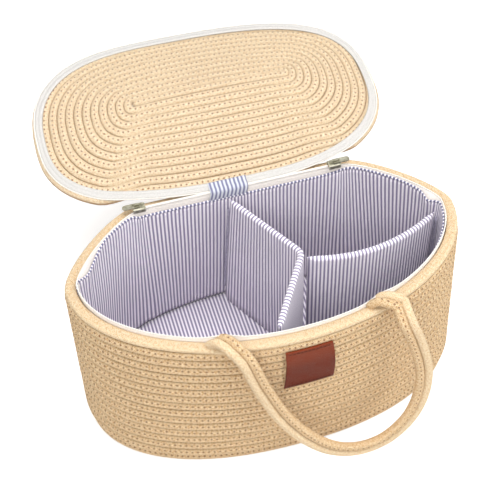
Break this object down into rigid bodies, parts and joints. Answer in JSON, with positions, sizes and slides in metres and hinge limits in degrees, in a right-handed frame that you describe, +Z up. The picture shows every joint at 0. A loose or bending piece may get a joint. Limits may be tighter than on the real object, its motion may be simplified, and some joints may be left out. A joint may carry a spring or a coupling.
{
  "type": "diaper caddy",
  "caption": "Oval coiled-rope basket with a zip-hinged rope lid, rope loop handles, a bare leather patch and a striped lining with lift-out padded dividers.",
  "frame": {"origin": "middle of the base's underside, on the ground", "axes": "+Z up, -Y to the front with the leather patch, +Y to the lid's hinge, +X along the basket's length to the viewer's right"},
  "size_m": [0.385, 0.4221, 0.2269],
  "materials": {
    "rope": "matte cotton and paper rope, sewn with zigzag rows",
    "stripe_fabric": "woven cotton with narrow blue-grey stripes",
    "tape": "off-white woven zip tape",
    "padding": "bonded wadding, out of sight",
    "board": "stiffener board, out of sight",
    "teeth": "moulded coil teeth",
    "slider_metal": "antique grey-green plating",
    "leather": "glossy brown, bare",
    "hook_and_loop": "hook and loop strip"
  },
  "bodies": {
    "basket": {"rope_base": "rope", "rope_wall": "rope", "rim_rope": "rope", "wall_padding": "padding", "lining_wall": "stripe_fabric", "lining_hem": "stripe_fabric", "floor_board": "board", "lining_floor": "stripe_fabric", "rim_zip_tape": "tape", "rim_zip_teeth": "teeth", "hinge_zip_chain": "teeth", "hinge_tab": "stripe_fabric", "leather_patch": "leather", "front_handle_left_root": "rope", "front_handle_right_root": "rope", "back_loop_strip": "hook_and_loop", "front_loop_strip": "hook_and_loop", "right_loop_strip": "hook_and_loop"},
    "lid": {"lid_panel": "rope", "lid_zip_tape": "tape", "lid_zip_teeth": "teeth", "lid_hinge_tab": "stripe_fabric"},
    "front_handle": {"front_handle": "rope"},
    "back_handle": {"back_handle": "rope"},
    "left_slider": {"left_slider": "slider_metal"},
    "left_slider_pull": {"left_slider_pull": "slider_metal"},
    "right_slider": {"right_slider": "slider_metal"},
    "right_slider_pull": {"right_slider_pull": "slider_metal"},
    "divider_set": {"cross_divider_cover": "stripe_fabric", "cross_divider_board": "board", "long_divider_cover": "stripe_fabric", "long_divider_board": "board", "back_hook_strip": "hook_and_loop", "front_hook_strip": "hook_and_loop", "right_hook_strip": "hook_and_loop"}
  },
  "joints": [
    {"name": "lid_hinge", "type": "hinge", "parent": "basket", "child": "lid", "pos_m": [0, 0.0802, 0.1858], "axis": [-1, 0, 0], "range_deg": [-164.5, 0]},
    {"name": "front_handle_swing", "type": "hinge", "parent": "basket", "child": "front_handle", "pos_m": [0.00847, -0.10568, 0.1842], "axis": [-0.9996, -0.0289, 0], "range_deg": [0, 136]},
    {"name": "back_handle_swing", "type": "hinge", "parent": "basket", "child": "back_handle", "pos_m": [0, 0.09848, 0.162], "axis": [1, 0, 0], "range_deg": [0, 70]},
    {"name": "left_slider_slide", "type": "slide", "parent": "basket", "child": "left_slider", "axis": [1, 0, 0], "range_m": [0, 0.062]},
    {"name": "right_slider_slide", "type": "slide", "parent": "basket", "child": "right_slider", "axis": [-1, 0, 0], "range_m": [0, 0.062]},
    {"name": "left_pull_flip", "type": "hinge", "parent": "left_slider", "child": "left_slider_pull", "pos_m": [-0.103, 0.0802, 0.1906], "axis": [0, 1, 0], "range_deg": [0, 180]},
    {"name": "right_pull_flip", "type": "hinge", "parent": "right_slider", "child": "right_slider_pull", "pos_m": [0.094, 0.0802, 0.1906], "axis": [0, -1, 0], "range_deg": [0, 180]},
    {"name": "divider_lift", "type": "slide", "parent": "basket", "child": "divider_set", "axis": [0, 0, 1], "range_m": [0, 0.19]}
  ]
}
